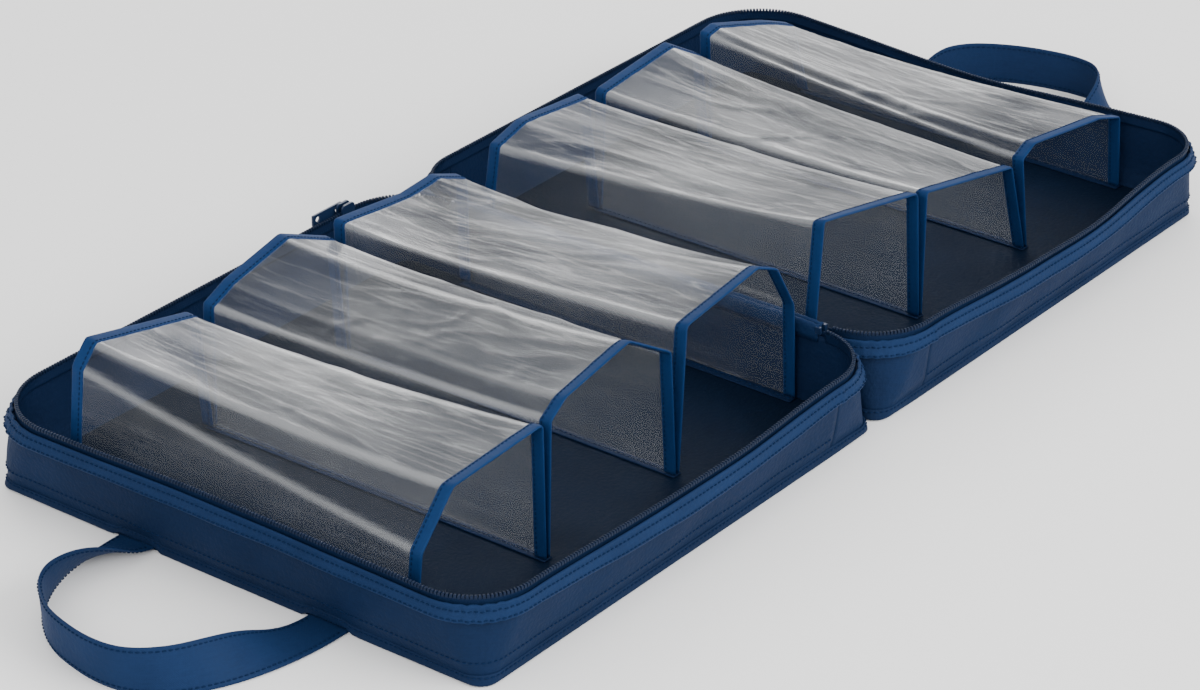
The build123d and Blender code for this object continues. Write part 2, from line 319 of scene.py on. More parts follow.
def base_sheet(name, side, inset, height, finish, thickness):
    """A sheet over the base. height(u, y) gives its middle surface."""
    ends = spine_foot + inset, base_end - inset
    bend = np.linspace(0, pi / 2, 9)[:-1]
    corner = base_corner - inset
    across = np.concatenate([
        ends[0] + corner * (1 - np.cos(bend)),
        np.linspace(ends[0] + corner, ends[1] - corner, 96),
        ends[1] - corner * (1 - np.cos(bend[::-1])),
    ])
    rows = []
    for u in across:
        half = half_width_at(u, inset)
        rows.append([(side * u, y, height(u, y)) for y in half * np.sin(np.linspace(-pi / 2, pi / 2, 90))])
    rows = np.array(rows)
    return sheet_grid(name, rows, finish, thickness, uv=rows[:, :, :2])


def lining_height(u, y):
    """The lining lies flat along the foot lines and puffs up to a millimetre between them."""
    nearest = min(abs(u - line) for line in foot_lines)
    puff = min(nearest / 0.03, 1.0) ** 2 * min((base_half - abs(y)) / 0.02, 1.0)
    ripple = 0.5 + noise.noise(Vector((u * 28, y * 17, 3.0)))
    return (lining_low.z + lining_high.z) / 2 + 0.0011 * max(puff, 0.0) * ripple


def base_height(u, y):
    """The base cloth is drawn flat under the board, with slight hollows."""
    return base_low.z + 0.00055 + 0.0002 * noise.noise(Vector((u * 35, y * 35, 8.0)))


for tray, side in trays.items():
    base = base_sheet(f"{tray}_base_cloth", side, 0.0, base_height, navy_cloth, 0.0007)
    lining = base_sheet(f"{tray}_lining", side, 0.0013, lining_height, lining_cloth_painted_shade, 0.0005)
    for made, node in ((base, f"{tray}_base_panel"), (lining, f"{tray}_floor_lining")):
        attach(made, f"{tray}_tray")
        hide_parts(node)

# --------------------------------------------------------------------------------------------------
# Walls. One strip of cloth runs round the near side, the outer end and the far side, and a second
# one makes the spine side and turns both corners to meet it. They are lofted shells that lean out,
# belly and sag a little.

seam_from_spine = 0.046
wall_thickness = 0.0011
near_slack = {-1: (0.0035, 0.0022), 1: (0.0062, 0.0042)}  # the near rim's slump: outwards, downwards
end_slack = {-1: (-0.0040, 0.0004), 1: (-0.0040, 0.0045)}  # the end rim stands steeper than the flare
steps = {"spine_corner": 20, "stub": 6, "side": 84, "corner": 24, "end": 84, "spine": 80}
side_run = ("near_side", "near_corner", "end", "far_corner", "far_side")
spine_run = ("far_stub", "far_spine_corner", "spine", "near_spine_corner", "near_stub")
rim_run = ("near_spine_corner", "near_stub", *side_run, "far_stub", "far_spine_corner")
whole_run = (*rim_run, "spine")


def arc(centre_u, centre_y, radius, start, stop, count):
    turn = np.radians(np.linspace(start, stop, count + 1))
    out = np.stack([np.cos(turn), np.sin(turn)], axis=1)
    return np.concatenate([np.array([centre_u, centre_y]) + radius * out, out], axis=1)


def straight(start, stop, out, count):
    share = np.linspace(0, 1, count + 1)[:, None]
    points = np.array(start) * (1 - share) + np.array(stop) * share
    return np.concatenate([points, np.tile(out, (count + 1, 1))], axis=1)


def tray_run(parts, height, out):
    """A tray's outline at a height, moved outwards: rows of u, y and the outward direction there."""
    inner = spine_foot - spine_lean * height - out
    outer = base_end + flare * height + out
    half = base_half + flare * height + out
    corner = base_corner + (rim_corner - base_corner) * height / rim_height + out
    near, far = (base_corner + (rim - base_corner) * height / rim_height + out for rim in end_rim_corners)
    seam = seam_from_spine
    n = steps
    stretches = {
        "near_spine_corner": arc(inner + corner, corner - half, corner, -180, -90, n["spine_corner"]),
        "near_stub": straight((inner + corner, -half), (seam, -half), (0, -1), n["stub"]),
        "near_side": straight((seam, -half), (outer - near, -half), (0, -1), n["side"]),
        "near_corner": arc(outer - near, near - half, near, -90, 0, n["corner"]),
        "end": straight((outer, near - half), (outer, half - far), (1, 0), n["end"]),
        "far_corner": arc(outer - far, half - far, far, 0, 90, n["corner"]),
        "far_side": straight((outer - far, half), (seam, half), (0, 1), n["side"]),
        "far_stub": straight((seam, half), (inner + corner, half), (0, 1), n["stub"]),
        "far_spine_corner": arc(inner + corner, half - corner, corner, 90, 180, n["spine_corner"]),
        "spine": straight((inner, half - corner), (inner, corner - half), (-1, 0), n["spine"]),
    }
    run = [stretches[parts[0]]] + [stretches[part][1:] for part in parts[1:]]
    run = np.concatenate(run)
    return run[:-1] if parts == whole_run else run


def wall_line(side, parts, height, out, belly=0.0, ripple=0.0):
    """Points on a tray's wall at a height, settled as the cloth is, and the outward direction at each."""
    u, y, out_u, out_y = tray_run(parts, height, out).T
    share = min(max(height / rim_height, 0.0), 1.0)
    near = np.clip(-out_y, 0, 1) ** 2 * np.sin(pi * np.clip((u - 0.05) / 0.26, 0, 1)) ** 1.5
    end = np.clip(out_u, 0, 1) ** 2 * np.clip(np.cos(pi * y / 0.30), 0, 1) ** 1.5
    slump = np.array([noise.noise(Vector((a * 15, b * 15, 4.0 + side))) for a, b in zip(side * u, y)])
    outwards = (near_slack[side][0] * near + end_slack[side][0] * end) * share**1.4
    outwards = outwards + 0.0022 * slump * (near + end) * share
    drop = (near_slack[side][1] * near + end_slack[side][1] * end) * share**2
    turning = 4 * np.clip(out_u * out_u * out_y * out_y, 0, 0.25)
    soft = np.array([
        noise.noise(Vector((a * 24, b * 24, height * 26 + side))) for a, b in zip(side * u, y)
    ])
    on_sides = np.clip(out_u + abs(out_y), 0, 1)
    outwards = outwards + belly * (0.75 + 1.2 * soft) * on_sides
    outwards = outwards + ripple * turning * np.sin(np.arctan2(out_y, out_u) * 34 + height * 60)
    points = np.stack([side * (u + outwards * out_u), y + outwards * out_y, height - drop], axis=1)
    return points, np.stack([side * out_u, out_y, np.zeros_like(u)], axis=1)


def wall_rows(side, parts, profile, ripple):
    """Rows of points up a wall, from a profile of (height, distance out, belly)."""
    return [wall_line(side, parts, height, out, belly, ripple * height / rim_height)[0]
            for height, out, belly in profile]


wall_top = strip_high.z


def wall_belly(height):
    """How far a wall swells out, most a little below half its height."""
    return 0.0018 * sin(pi * (height / wall_top) ** 0.8)


wall_profile = [
    (0.0016, -0.0010, 0.0), (0.0035, -0.0006, 0.0), (0.006, -0.0003, 0.0003), (0.009, -0.0005, 0.0007),
] + [(z, -0.0005, wall_belly(z)) for z in np.linspace(0.012, wall_top, 13)]

for tray, side in trays.items():
    strip = sheet_grid(
        f"{tray}_side_wall", wall_rows(side, side_run, wall_profile, 0.0004), navy_cloth, wall_thickness
    )
    wall = sheet_grid(
        f"{tray}_spine_wall", wall_rows(side, spine_run, wall_profile, 0.0002), navy_cloth, wall_thickness
    )
    for made, length, node in (
        (strip, 0.99, f"{tray}_side_strip"), (wall, 0.42, f"{tray}_spine_wall")
    ):
        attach(made, f"{tray}_tray")
        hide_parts(node)

# --------------------------------------------------------------------------------------------------
# Bottom binding. A folded tape covers the seam between walls and base and is sewn through along its
# top edge. It rides up over the handle's two ends, which are caught in the same seam.

binding_colours = ((0.0036, 0.0185, 0.066), (0.0060, 0.0290, 0.098))
binding_cloth = woven_finish("binding_tape", binding_colours, 0.0005, 0.58, 0.16, 0.03)
thread_finish, tree, shader = new_finish("sewing_thread", 0.8, Specular_IOR_Level=0.04)
place = tree.nodes.new("ShaderNodeTexCoord")
twist = place_group(tree, mottle, place.outputs["Object"], Patch=500.0, Grain=5000.0)
thread_colours = ((0.0030, 0.0100, 0.034), (0.0052, 0.0170, 0.054))
two_tone(tree, twist.outputs["Value"], *thread_colours, shader.inputs["Base Color"])
handle_low, handle_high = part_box("left_handle")
strap_width = 0.027
wall_seam_height = 0.0135


def flat_section(width, thickness, count=14):
    """A flat tape's cross-section with rounded edges: places across it and through it."""
    turn = np.linspace(0, 2 * pi, count, endpoint=False) + pi / count
    across = np.sign(np.cos(turn)) * abs(np.cos(turn)) ** 0.45 * width / 2
    through = np.sign(np.sin(turn)) * abs(np.sin(turn)) ** 0.7 * thickness / 2
    return across, through


def unit(vectors):
    return vectors / np.linalg.norm(vectors, axis=-1, keepdims=True)


def tape(name, line, across, width, thickness, finish, loop=False, swell=None):
    """A flat tape along a line of points. across points from one long edge to the other at each of them."""
    line, across = np.asarray(line, float), unit(np.asarray(across, float))
    if loop:
        along = np.roll(line, -1, axis=0) - np.roll(line, 1, axis=0)
    else:
        along = np.gradient(line, axis=0)
    along = unit(along)
    up = unit(np.cross(along, across))
    places, depths = flat_section(width, thickness)
    swell = np.ones(len(line)) if swell is None else swell
    rings = (
        line[:, None]
        + across[:, None] * (places[None, :, None] * swell[:, None, None])
        + up[:, None] * depths[None, :, None]
    )
    count, around = rings.shape[:2]
    run = np.concatenate([[0], np.cumsum(np.linalg.norm(np.diff(line, axis=0), axis=1))])
    faces, corners = [], []
    for i in range(count if loop else count - 1):
        k = (i + 1) % count
        end = run[i] + np.linalg.norm(line[k] - line[i])
        for j in range(around):
            m = (j + 1) % around
            faces.append((i * around + j, i * around + m, k * around + m, k * around + j))
            corners += [(run[i], places[j]), (run[i], places[m]), (end, places[m]), (end, places[j])]
    if not loop:
        faces.append(tuple(range(around - 1, -1, -1)))
        faces.append(tuple(range((count - 1) * around, count * around)))
        corners += [(run[0], 0.0)] * around + [(run[-1], 0.0)] * around
    made = add_mesh(name, rings.reshape(-1, 3), faces, corners, finish)
    turn_outwards(made)
    return made


def sew(name, lines, pitch=0.0034, thickness=0.00045):
    """Rows of stitches along lines of points, each with the outward directions of the cloth there."""
    rings = ((-0.36, 0.35, -0.35), (-0.22, 0.9, 0.3), (0.22, 0.9, 0.3), (0.36, 0.35, -0.35))
    turn = np.linspace(0, 2 * pi, 5, endpoint=False)
    shape = np.array([
        (place * pitch, radius * thickness * cos(t), thickness * (radius * sin(t) + rise))
        for place, radius, rise in rings for t in turn
    ])
    shape_faces = [tuple(range(4, -1, -1)), tuple(range(15, 20))]
    for ring in range(3):
        for j in range(5):
            k = (j + 1) % 5
            shape_faces.append((ring * 5 + j, ring * 5 + k, ring * 5 + 5 + k, ring * 5 + 5 + j))
    points, faces = [], []
    for line, outwards in lines:
        line, outwards = np.asarray(line, float), np.asarray(outwards, float)
        run = np.concatenate([[0], np.cumsum(np.linalg.norm(np.diff(line, axis=0), axis=1))])
        places = np.arange(pitch, run[-1] - pitch / 2, pitch)
        middle = np.stack([np.interp(places, run, line[:, i]) for i in range(3)], axis=1)
        ahead = np.stack([np.interp(places + pitch / 4, run, line[:, i]) for i in range(3)], axis=1)
        up = unit(np.stack([np.interp(places, run, outwards[:, i]) for i in range(3)], axis=1))
        along = unit(ahead - middle)
        up = unit(up - along * (up * along).sum(1, keepdims=True))
        beside = np.cross(up, along)
        for p, a, b, c in zip(middle, along, beside, up):
            start = len(points) * len(shape)
            points.append(p + shape @ np.array([a, b, c]))
            faces += [tuple(start + corner for corner in face) for face in shape_faces]
    points = np.concatenate(points)
    corners = [points[corner][:2] for face in faces for corner in face]
    made = add_mesh(name, points, faces, corners, thread_finish)
    made.data.shade_smooth()
    return made


def over_strap_ends(u, y):
    """1 where a handle's end passes under the bottom seam, and 0 away from it."""
    inner_edge, outer_edge = handle_high.y - strap_width, handle_high.y
    past_inner = np.clip((abs(y) - inner_edge + 0.004) / 0.004, 0, 1)
    before_outer = np.clip((outer_edge + 0.004 - abs(y)) / 0.004, 0, 1)
    return past_inner * before_outer * (u > base_end - 0.002)


for tray, side in trays.items():
    low, outwards = wall_line(side, whole_run, 0.0, 0.0017)
    high, _ = wall_line(side, whole_run, 0.0062, 0.0004)
    raise_by = over_strap_ends(abs(low[:, 0]), low[:, 1]) * 0.0019
    waves = np.array([noise.noise(Vector(p) * 45) for p in low])
    low[:, 2] += 0.0006 + raise_by + 0.0003 * (1 + waves)
    high += outwards * (0.0005 * waves)[:, None]
    high[:, 2] += raise_by
    made = tape(
        f"{tray}_bottom_binding", (low + high) / 2, high - low, 0.0062, 0.0017, navy_cloth, loop=True,
        swell=1 - raise_by * 130,
    )
    lean = unit(np.cross(np.roll(low, -1, axis=0) - low, high - low) * side)
    face = np.where((lean * outwards).sum(1, keepdims=True) < 0, -lean, lean)
    seam = low + (high - low) * 0.76 + face * 0.00095
    whole_seam = (np.concatenate([seam, seam[:1]]), np.concatenate([face, face[:1]]))
    threads = sew(f"{tray}_bottom_stitches", [whole_seam])
    top_seam, top_out = wall_line(side, side_run, wall_seam_height, 0.0, wall_belly(wall_seam_height))
    wall_threads = sew(f"{tray}_wall_stitches", [(top_seam + top_out * 0.00015, top_out)])
    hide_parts(f"{tray}_base_binding")
    for piece in (made, threads, wall_threads):
        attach(piece, f"{tray}_tray")

# --------------------------------------------------------------------------------------------------
# Zip band. A strip of the same cloth, folded over at its top, is sewn outside the walls' top edge.
# Its lower edge stands away from the wall, and it gathers round the corners and over its joint
# beside the spine. Its colours are lighter than the walls': painted light, for the light on its
# upward-tilted face.

band_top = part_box("left_zip_band")[1].z
band_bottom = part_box("left_zip_band")[0].z
band_profile = [
    (band_top - 0.0016, 0.0002, 0.0), (band_top - 0.0004, 0.0003, 0.0),
    (band_top + 0.0001, 0.0009, 0.0), (band_top - 0.0008, 0.0015, 0.0),
    (band_top - 0.0022, 0.0013, 0.0001), (band_top - 0.0040, 0.0018, 0.0003),
    (band_top - 0.0060, 0.0025, 0.0006), (band_top - 0.0080, 0.0032, 0.0008),
    (band_bottom + 0.0010, 0.0039, 0.0009), (band_bottom, 0.0042, 0.0009),
    (band_bottom - 0.0006, 0.0041, 0.0009), (band_bottom - 0.0007, 0.0034, 0.0009),
    (band_bottom, 0.0028, 0.0009),
]
# Painted light: the band's colours are a lighter copy of the navy cloth, for the light on its face.
band_painted_light_colours = ((0.0043, 0.0145, 0.046), (0.0074, 0.0230, 0.070))
band_cloth_painted_light = woven_finish("band_polyester_painted_light", band_painted_light_colours, 0.0006, 0.6, 0.3, 0.02)

for tray, side in trays.items():
    rows = np.array(wall_rows(side, rim_run, band_profile, 0.0009))
    outwards = wall_line(side, rim_run, band_top, 0.0)[1]
    along_near = np.sin(pi * np.clip((abs(rows[2][:, 0]) - 0.05) / 0.26, 0, 1))
    in_middle = np.clip(-outwards[:, 1], 0, 1) ** 2 * along_near
    rows[3:] = rows[2] + (rows[3:] - rows[2]) * (0.76 + 0.34 * in_middle)[None, :, None]
    from_joint = (abs(rows[0][:, 0]) - seam_from_spine) / 0.0012
    at_joint = np.exp(-(from_joint**2)) * (abs(outwards[:, 1]) > 0.9)
    rows[3:] += outwards[None] * (0.0007 * at_joint)[None, :, None]
    band = sheet_grid(f"{tray}_zip_band", rows, band_cloth_painted_light, 0.0008)
    lines = [(rows[row] + outwards * 0.0006, outwards) for row in (5, 8)]
    threads = sew(f"{tray}_band_stitches", lines)
    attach(band, f"{tray}_tray")
    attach(threads, f"{tray}_tray")
    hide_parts(f"{tray}_zip_band")

# --------------------------------------------------------------------------------------------------
# Zip. A woven tape stands up behind the band with a row of moulded teeth along its edge. Each row
# ends at a metal stop beside the spine. The slider and its pull are enamelled metal, on the left
# tray's far side.

tape_low, tape_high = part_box("left_zip_tape")
teeth_low, teeth_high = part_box("left_zip_teeth")
tape_inset = 0.0017
teeth_pitch = 0.0021
tooth_width = 0.0021
tape_colours = ((0.0026, 0.0085, 0.028), (0.0048, 0.0150, 0.046))
tape_finish = woven_finish("zip_tape_weave", tape_colours, 0.0009, 0.6, 0.1, 0.02)
teeth_finish, tree, shader = new_finish("moulded_teeth", 0.5, Specular_IOR_Level=0.15)
place = tree.nodes.new("ShaderNodeTexCoord")
wear = place_group(tree, mottle, place.outputs["Object"], Patch=90.0, Grain=2500.0)
teeth_colours = ((0.0012, 0.005, 0.017), (0.003, 0.012, 0.038))
two_tone(tree, wear.outputs["Value"], *teeth_colours, shader.inputs["Base Color"])
tree.links.new(bump(tree, wear.outputs["Grain"], 0.0001, 0.4), shader.inputs["Normal"])


def row_of_teeth(name, side):
    """Copies of one tooth along the rim: a bar across the tape's edge with its upper corners worn round."""
    line, outwards = wall_line(side, rim_run, teeth_low.z, -tape_inset)
    run = np.concatenate([[0], np.cumsum(np.linalg.norm(np.diff(line, axis=0), axis=1))])
    places = np.arange(0.004, run[-1] - 0.004, teeth_pitch)
    middle = np.stack([np.interp(places, run, line[:, i]) for i in range(3)], axis=1)
    ahead = np.stack([np.interp(places + 0.0005, run, line[:, i]) for i in range(3)], axis=1)
    out = unit(np.stack([np.interp(places, run, outwards[:, i]) for i in range(3)], axis=1))
    height = teeth_high.z - teeth_low.z
    levels = ((-0.0004, 1.0, 1.0), (0.55 * height, 1.0, 1.0), (0.9 * height, 0.82, 0.75), (height, 0.5, 0.35))
    shape, shape_faces = [], [(3, 2, 1, 0), (12, 13, 14, 15)]
    for rise, wide, deep in levels:
        for a, b in ((-1, -1), (1, -1), (1, 1), (-1, 1)):
            shape.append((a * 0.36 * teeth_pitch * deep, b * tooth_width / 2 * wide, rise))
    for level in range(3):
        for j in range(4):
            k = (j + 1) % 4
            shape_faces.append((level * 4 + j, level * 4 + k, level * 4 + 4 + k, level * 4 + 4 + j))
    shape, points, faces = np.array(shape), [], []
    for p, a, b in zip(middle, unit(ahead - middle), out):
        start = len(points) * len(shape)
        points.append(p + shape @ np.array([a, b, (0, 0, 1)]))
        faces += [tuple(start + corner for corner in face) for face in shape_faces]
    points = np.concatenate(points)
    made = add_mesh(name, points, faces, [points[c][:2] for face in faces for c in face], teeth_finish)
    turn_outwards(made)
    made.data.shade_flat()
    return made


for tray, side in trays.items():
    heights = np.linspace(tape_low.z, tape_high.z + 0.0002, 6)
    rows = [wall_line(side, rim_run, z, -tape_inset)[0] for z in heights]
    woven_tape = sheet_grid(f"{tray}_zip_tape", rows, tape_finish, 0.0006)
    teeth = row_of_teeth(f"{tray}_zip_teeth_row", side)
    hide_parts(f"{tray}_zip_tape")
    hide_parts(f"{tray}_zip_teeth")
    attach(woven_tape, f"{tray}_tray")
    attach(teeth, f"{tray}_tray")

enamel, tree, shader = new_finish("enamelled_metal", 0.42, Specular_IOR_Level=0.4)
place = tree.nodes.new("ShaderNodeTexCoord")
wear = place_group(tree, mottle, place.outputs["Object"], Patch=300.0, Grain=3000.0)
enamel_colours = ((0.0025, 0.010, 0.034), (0.0050, 0.019, 0.060))
two_tone(tree, wear.outputs["Value"], *enamel_colours, shader.inputs["Base Color"])
tree.links.new(bump(tree, wear.outputs["Grain"], 0.00008, 0.35), shader.inputs["Normal"])
for name in ("zip_slider", "slider_pull", "left_zip_stops", "right_zip_stops"):
    dress_node(name, enamel)

# --------------------------------------------------------------------------------------------------
# Spine. A strip of cloth joins the two trays along the tops of their spine walls. It is sewn to the
# inside of each wall, passes over both tops with a shallow valley between them, and is drawn
# together at its two ends.

strip_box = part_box("spine_strip")
spine_half = strip_box[1].y
half_section = [  # from the sewn edge inside a wall, over its top and down to the valley
    (-0.0036, -0.0095), (-0.0037, -0.0060), (-0.0036, -0.0025), (-0.0032, -0.0004),
    (-0.0024, 0.0007), (-0.0015, 0.0006), (-0.0008, -0.0002), (-0.0003, -0.0010),
]
spine_section = half_section + [(0.0, -0.0013)] + [(-x, z) for x, z in reversed(half_section)]
places = np.linspace(-spine_half, spine_half, 110)
rows = []
for x, z in spine_section:
    ripple = np.array([noise.noise(Vector((x * 60, y * 55, 5.0))) for y in places])
    gather = np.clip((abs(places) - spine_half + 0.030) / 0.030, 0, 1)
    pucker = gather * 0.0004 * np.sin(places * 1500)
    sag = 0.0007 * ripple + pucker
    heights = rim_height + z + sag * (z > -0.004)
    rows.append(np.stack([x * (1 - 0.12 * gather), places, heights], axis=1))
# The spine cloth takes the band's colours, so it carries the same painted light.
spine_cloth = sheet_grid("spine_cloth", rows, band_cloth_painted_light, 0.0007)
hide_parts("spine_strip")
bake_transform(spine_cloth)

# --------------------------------------------------------------------------------------------------
# Foot tapes. Four tapes a tray run from front to back over the lining. The film's legs are sewn to
# the floor under them, with one row of stitches down the middle of each.

foot_low, foot_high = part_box("left_foot_tapes")
foot_tape_width = 0.007

for tray, side in trays.items():
    lines = []
    for index, u in enumerate(foot_lines):
        y = np.linspace(foot_low.y, foot_high.y, 70)
        drift = np.array([noise.noise(Vector((u * 50, v * 22, side))) for v in y])
        z = (foot_low.z + foot_high.z) / 2
        line = np.stack([side * u + 0.0004 * drift, y, np.full_like(y, z)], axis=1)
        made = tape(
            f"{tray}_foot_tape_{index + 1}", line, np.tile((1.0, 0, 0), (len(y), 1)),
            foot_tape_width, 0.0008, navy_cloth,
        )
        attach(made, f"{tray}_tray")
        lines.append((line + np.array((0, 0, 0.0004)), np.tile((0, 0, 1.0), (len(y), 1))))
        if index == 0:
            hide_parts(f"{tray}_foot_tapes")
    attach(sew(f"{tray}_foot_stitches", lines), f"{tray}_tray")

# --------------------------------------------------------------------------------------------------
# Tunnels. Each is one piece of clear vinyl film bent over from foot line to foot line. Soft film
# keeps creases and dents, is higher at the open near end than at the far end, and slumps unevenly
# at its shoulders.

leg_a, leg_b, leg_c = 0.008, 0.1185, 0.1215
leg_d, leg_e, leg_f = 0.2335, 0.2365, 0.344
tunnels = [
    ("left_tunnel_1", (leg_e, leg_f),
     [(leg_e + 0.002, 0.088), (leg_f - 0.032, 0.084), (leg_f - 0.006, 0.056)],
     [(leg_e + 0.008, 0.079), (leg_f - 0.020, 0.096), (leg_f - 0.009, 0.084)]),
    ("left_tunnel_2", (leg_c, leg_d),
     [(leg_c + 0.005, 0.084), (leg_c + 0.042, 0.106), (leg_d - 0.015, 0.096), (leg_d - 0.002, 0.087)],
     [(leg_c + 0.006, 0.080), (leg_c + 0.046, 0.097), (leg_d - 0.020, 0.087), (leg_d - 0.002, 0.079)]),
    ("left_tunnel_3", (leg_a, leg_b),
     [(leg_a + 0.003, 0.066), (leg_a + 0.020, 0.095), (leg_a + 0.038, 0.103), (leg_b - 0.006, 0.094)],
     [(leg_a + 0.002, 0.075), (leg_a + 0.026, 0.084), (leg_a + 0.054, 0.082), (leg_b + 0.002, 0.088)]),
    ("right_tunnel_1", (leg_a, leg_b),
     [(leg_a + 0.009, 0.107), (leg_a + 0.030, 0.103), (leg_b - 0.006, 0.088)],
     [(leg_a + 0.014, 0.083), (leg_a + 0.040, 0.090), (leg_b - 0.010, 0.085)]),
    ("right_tunnel_2", (leg_c, leg_d),
     [(leg_c + 0.001, 0.085), (leg_c + 0.060, 0.073), (leg_d - 0.018, 0.066)],
     [(leg_c + 0.004, 0.082), (leg_d - 0.038, 0.089), (leg_d - 0.008, 0.072)]),
    ("right_tunnel_3", (leg_e, leg_f),
     [(leg_e - 0.009, 0.067), (leg_e + 0.004, 0.073), (leg_f - 0.028, 0.062), (leg_f - 0.004, 0.054)],
     [(leg_e - 0.003, 0.083), (leg_e + 0.008, 0.085), (leg_f - 0.046, 0.069), (leg_f - 0.018, 0.058)]),
]
film_across = 116
film_along = 84
edge_width = 0.0082


def clear_film():
    """Clear vinyl: nearly all light goes through. A grey layer shows it in haze patches, with painted
    reflection at glancing angles, painted highlight streaks and painted highlights along its folds.
    """
    made, tree, shader = new_finish(
        "clear_vinyl", 0.26, IOR=1.5, Specular_IOR_Level=0.55, Coat_Weight=0.40, Coat_Roughness=0.16,
        Coat_IOR=2.0,
    )
    shader.inputs["Base Color"].default_value = (0.44, 0.45, 0.46, 1.0)
    place = tree.nodes.new("ShaderNodeTexCoord")
    lengthwise = tree.nodes.new("ShaderNodeMapping")
    lengthwise.inputs["Scale"].default_value = (1.0, 0.4, 1.0)
    tree.links.new(place.outputs["Object"], lengthwise.inputs["Vector"])
    haze = place_group(tree, mottle, lengthwise.outputs["Vector"], Patch=15.0, Grain=45.0)
    # Painted reflection: the grey layer grows more opaque at glancing angles, in the haze patches, standing
    # in for the light the film reflects there.
    glance = tree.nodes.new("ShaderNodeLayerWeight")
    glance.inputs["Blend"].default_value = 0.5
    behind = tree.nodes.new("ShaderNodeNewGeometry")
    cloud = math_node(tree, "MULTIPLY_ADD", haze.outputs["Value"], 3.4, -0.95)
    cloud = math_node(tree, "MAXIMUM", cloud, 0.25)
    painted_glance_reflection = math_node(tree, "POWER", glance.outputs["Facing"], 2.2)
    cover = math_node(tree, "MULTIPLY_ADD", math_node(tree, "MULTIPLY", painted_glance_reflection, cloud), 0.78, 0.024)
    # Painted highlight streaks: thin stretched lines where the grey layer is more opaque at glancing angles.
    stretch = tree.nodes.new("ShaderNodeMapping")
    stretch.inputs["Scale"].default_value = (120.0, 7.0, 120.0)
    stretch.inputs["Rotation"].default_value = (0.0, 0.0, 0.12)
    painted_highlight_streaks = tree.nodes.new("ShaderNodeTexNoise")
    painted_highlight_streaks.inputs["Scale"].default_value = 1.0
    painted_highlight_streaks.inputs["Detail"].default_value = 3.0
    tree.links.new(place.outputs["Object"], stretch.inputs["Vector"])
    tree.links.new(stretch.outputs["Vector"], painted_highlight_streaks.inputs["Vector"])
    middle = math_node(tree, "ABSOLUTE", math_node(tree, "SUBTRACT", painted_highlight_streaks.outputs["Fac"], 0.5))
    line = math_node(tree, "MAXIMUM", math_node(tree, "MULTIPLY_ADD", middle, -26.0, 1.0), 0.0)
    cover = math_node(tree, "MULTIPLY_ADD", math_node(tree, "MULTIPLY", line, painted_glance_reflection), 0.50, cover)
    # Painted highlights along the film's folds, read from the fold attribute.
    fold = tree.nodes.new("ShaderNodeAttribute")
    fold.attribute_name = "fold"
    cover = math_node(tree, "MULTIPLY_ADD", fold.outputs["Fac"], 0.30, cover)
    cover = math_node(tree, "MINIMUM", cover, 0.88)
    front = math_node(tree, "SUBTRACT", 1.0, behind.outputs["Backfacing"])
    tree.links.new(math_node(tree, "MULTIPLY", cover, front), shader.inputs["Alpha"])
    return made


film_finish = clear_film()


def rounded(points, share, rounds=3):
    """Round an outline's corners, using up no more than a share of each straight run at either end."""
    line = np.asarray(points, float)
    places = np.array([0.0, share, 1 - share])[:, None]
    line = np.concatenate([a + (b - a) * places for a, b in zip(line, line[1:])] + [line[-1:]])
    for _ in range(rounds):
        cut = [line[:1]]
        for a, b in zip(line, line[1:]):
            cut.append(np.array([a * 0.75 + b * 0.25, a * 0.25 + b * 0.75]))
        line = np.concatenate(cut + [line[-1:]])
    return line


def spread(line, count):
    """Space points evenly along a line."""
    run = np.concatenate([[0], np.cumsum(np.linalg.norm(np.diff(line, axis=0), axis=1))])
    places = np.linspace(0, run[-1], count)
    return np.stack([np.interp(places, run, line[:, i]) for i in range(line.shape[1])], axis=1)


def film_surface(side, legs, near, far, foot, ends, seed):
    """Rows of points of a tunnel's film from its near end to its far end, and how folded it is at each, the
    mask for the painted highlights along its folds.
    """
    near, far = (np.array([(legs[0], foot), *shoulders, (legs[1], foot)]) for shoulders in (near, far))
    rows, fold_highlight_mask = [], []
    for y in np.linspace(ends[0], ends[1], film_along):
        share = (y - ends[0]) / (ends[1] - ends[0])
        inside = sin(pi * share) ** 0.7
        line = spread(rounded(near * (1 - share) + far * share, 0.07 + 0.07 * inside), film_across)
        out = np.gradient(line, axis=0)
        out = unit(np.stack([-out[:, 1], out[:, 0]], axis=1))
        # How sharply the film bends, kept as the mask for painted highlights along its folds.
        fold_highlight_mask.append(np.clip(np.linalg.norm(np.gradient(out, axis=0), axis=1) * 5 - 0.2, 0, 1))
        row = []
        for (u, z), (out_u, out_z) in zip(line, out):
            up = min((z - foot) / 0.035, 1.0)
            dent = noise.noise(Vector((u * 11 + seed, y * 7, z * 9)))
            wander = noise.noise(Vector((u * 12, y * 9, seed * 3.1)))
            long_lines = noise.noise(Vector((u * 24 + y * 4 + wander, y * 4.5 - u * 3, seed * 1.7)))
            fine_lines = noise.noise(Vector((u * 46 - y * 9, y * 11 + wander * 2, seed)))
            crease = 1 - abs(long_lines) * 4.5
            fine = 1 - abs(fine_lines) * 5.0
            move = 0.0032 * dent * inside + 0.0010 * max(crease, 0.0) ** 1.5 * (0.08 + 0.92 * inside)
            move += 0.0005 * max(fine, 0.0) ** 2 * (0.1 + 0.9 * inside)
            move *= up * (0.30 + 0.70 * abs(out_z))
            sag = 0.0045 * inside * up * abs(out_z)
            row.append((side * (u + out_u * move), y, z + out_z * move - sag))
        rows.append(row)
    return np.array(rows), np.array(fold_highlight_mask)


